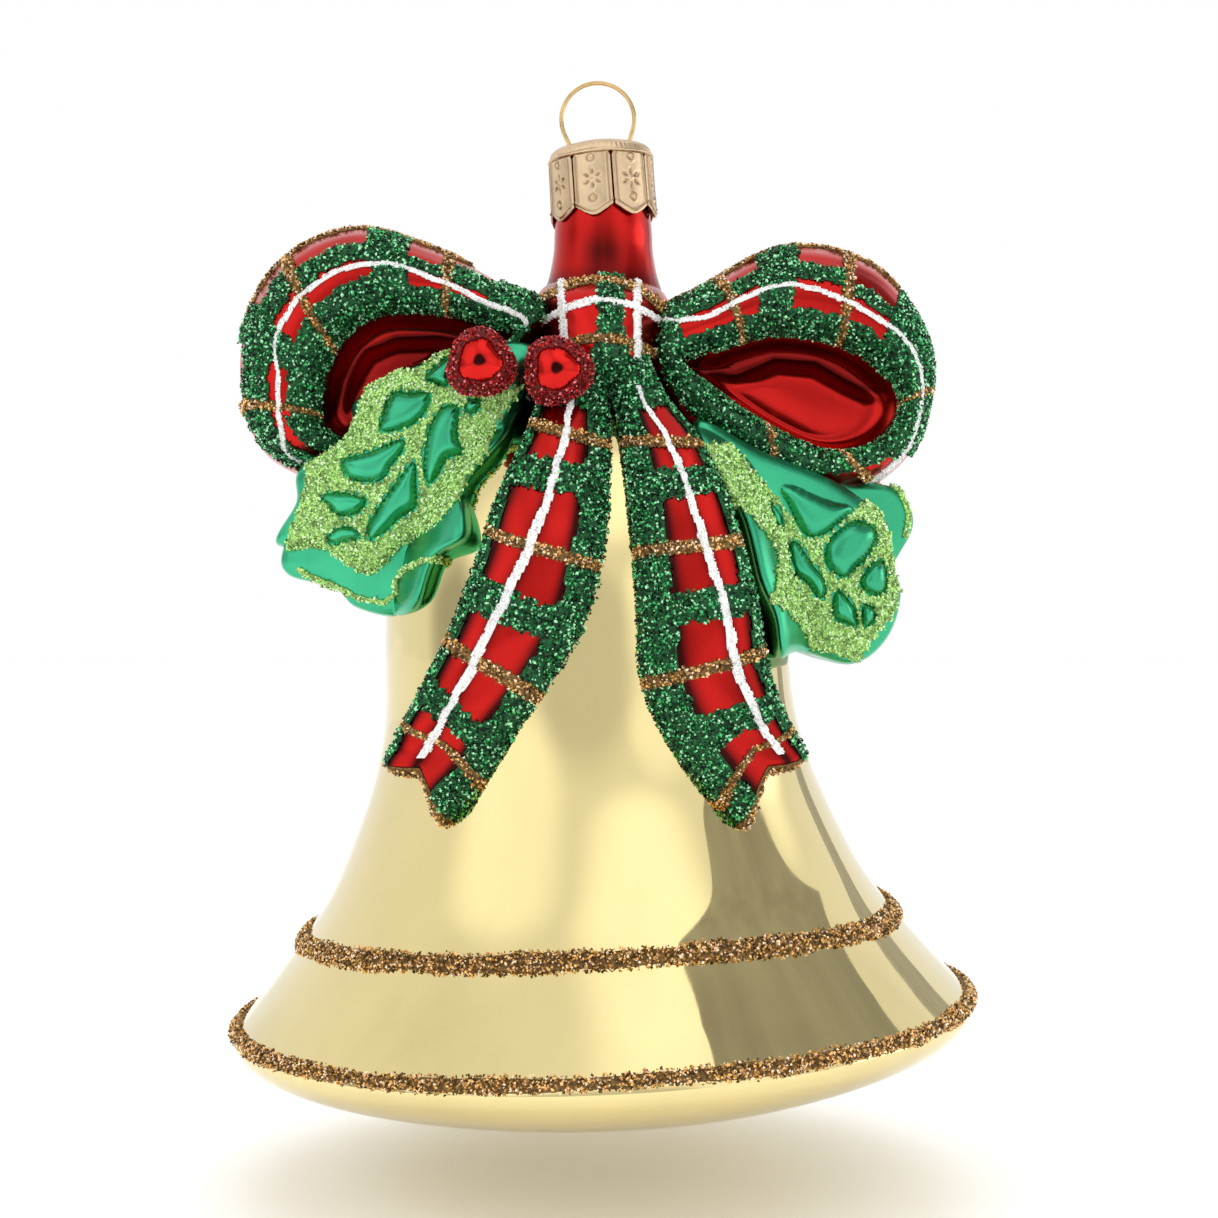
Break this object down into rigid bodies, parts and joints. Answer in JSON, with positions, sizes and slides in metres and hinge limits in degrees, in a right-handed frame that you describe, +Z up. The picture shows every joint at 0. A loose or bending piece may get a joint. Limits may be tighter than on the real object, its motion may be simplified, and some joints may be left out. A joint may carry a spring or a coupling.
{
  "type": "christmas bell ornament",
  "caption": "Hollow blown-glass bell ornament with a tartan bow, holly and berries, a petal crown and a wire hanging ring.",
  "frame": {"origin": "the hanging point, on the inside of the top of the wire ring", "axes": "+Z up, -Y towards the viewer who sees the front, +X to that viewer's right"},
  "size_m": [0.1028, 0.103, 0.1416],
  "materials": {
    "hanger_brass": "drawn brass wire, bright",
    "crown_metal": "stamped sheet, champagne gold, embossed",
    "gold_mirror": "silvered inside and lacquered pale gold, mirror bright",
    "red_lacquer": "silvered inside and lacquered red, satin",
    "green_lacquer": "silvered inside and lacquered green, satin",
    "berry_red": "lacquered red, high gloss",
    "green_glitter": "glitter bonded on glue, coarse",
    "gold_glitter": "glitter bonded on glue, coarse",
    "white_glitter": "fine white glitter bonded on glue",
    "lime_glitter": "glitter bonded on glue, coarse",
    "red_glitter": "glitter bonded on glue, coarse"
  },
  "bodies": {
    "hanger": {"hanger_wire": "hanger_brass"},
    "crown": {"crown_cap": "crown_metal"},
    "glass": {"neck_tube": "red_lacquer", "bell_shell": "gold_mirror", "bow_knot": "red_lacquer", "bow_loop_left": "red_lacquer", "bow_loop_right": "red_lacquer", "tail_left_front": "red_lacquer", "tail_right_front": "red_lacquer", "tail_left_back": "red_lacquer", "tail_right_back": "red_lacquer", "leaf_left": "green_lacquer", "leaf_left_rear": "green_lacquer", "leaf_right": "green_lacquer", "leaf_right_rear": "green_lacquer", "berry_left_front": "berry_red", "berry_right_front": "berry_red", "berry_left_back": "berry_red", "berry_right_back": "berry_red", "berry_rings_front": "red_glitter", "berry_rings_back": "red_glitter", "waist_glitter_band": "gold_glitter", "rim_glitter_band": "gold_glitter", "loop_left_green": "green_glitter", "loop_right_green": "green_glitter", "loop_gold_lines": "gold_glitter", "loop_white_lines": "white_glitter", "knot_green": "green_glitter", "knot_gold_lines": "gold_glitter", "knot_white_lines": "white_glitter", "tail_green_front": "green_glitter", "tail_gold_lines_front": "gold_glitter", "tail_white_lines_front": "white_glitter", "tail_green_back": "green_glitter", "tail_gold_lines_back": "gold_glitter", "tail_white_lines_back": "white_glitter", "leaf_left_glitter": "lime_glitter", "leaf_right_glitter": "lime_glitter"}
  },
  "joints": [
    {"name": "hanger_rock", "type": "hinge", "parent": "hanger", "child": "crown", "pos_m": [0.00062, 0, -0.00893], "axis": [0.9976, 0, 0.0698], "range_deg": [-7, 7]},
    {"name": "crown_pull", "type": "slide", "parent": "crown", "child": "glass", "axis": [0, 0, -1], "range_m": [0, 0.03]}
  ]
}
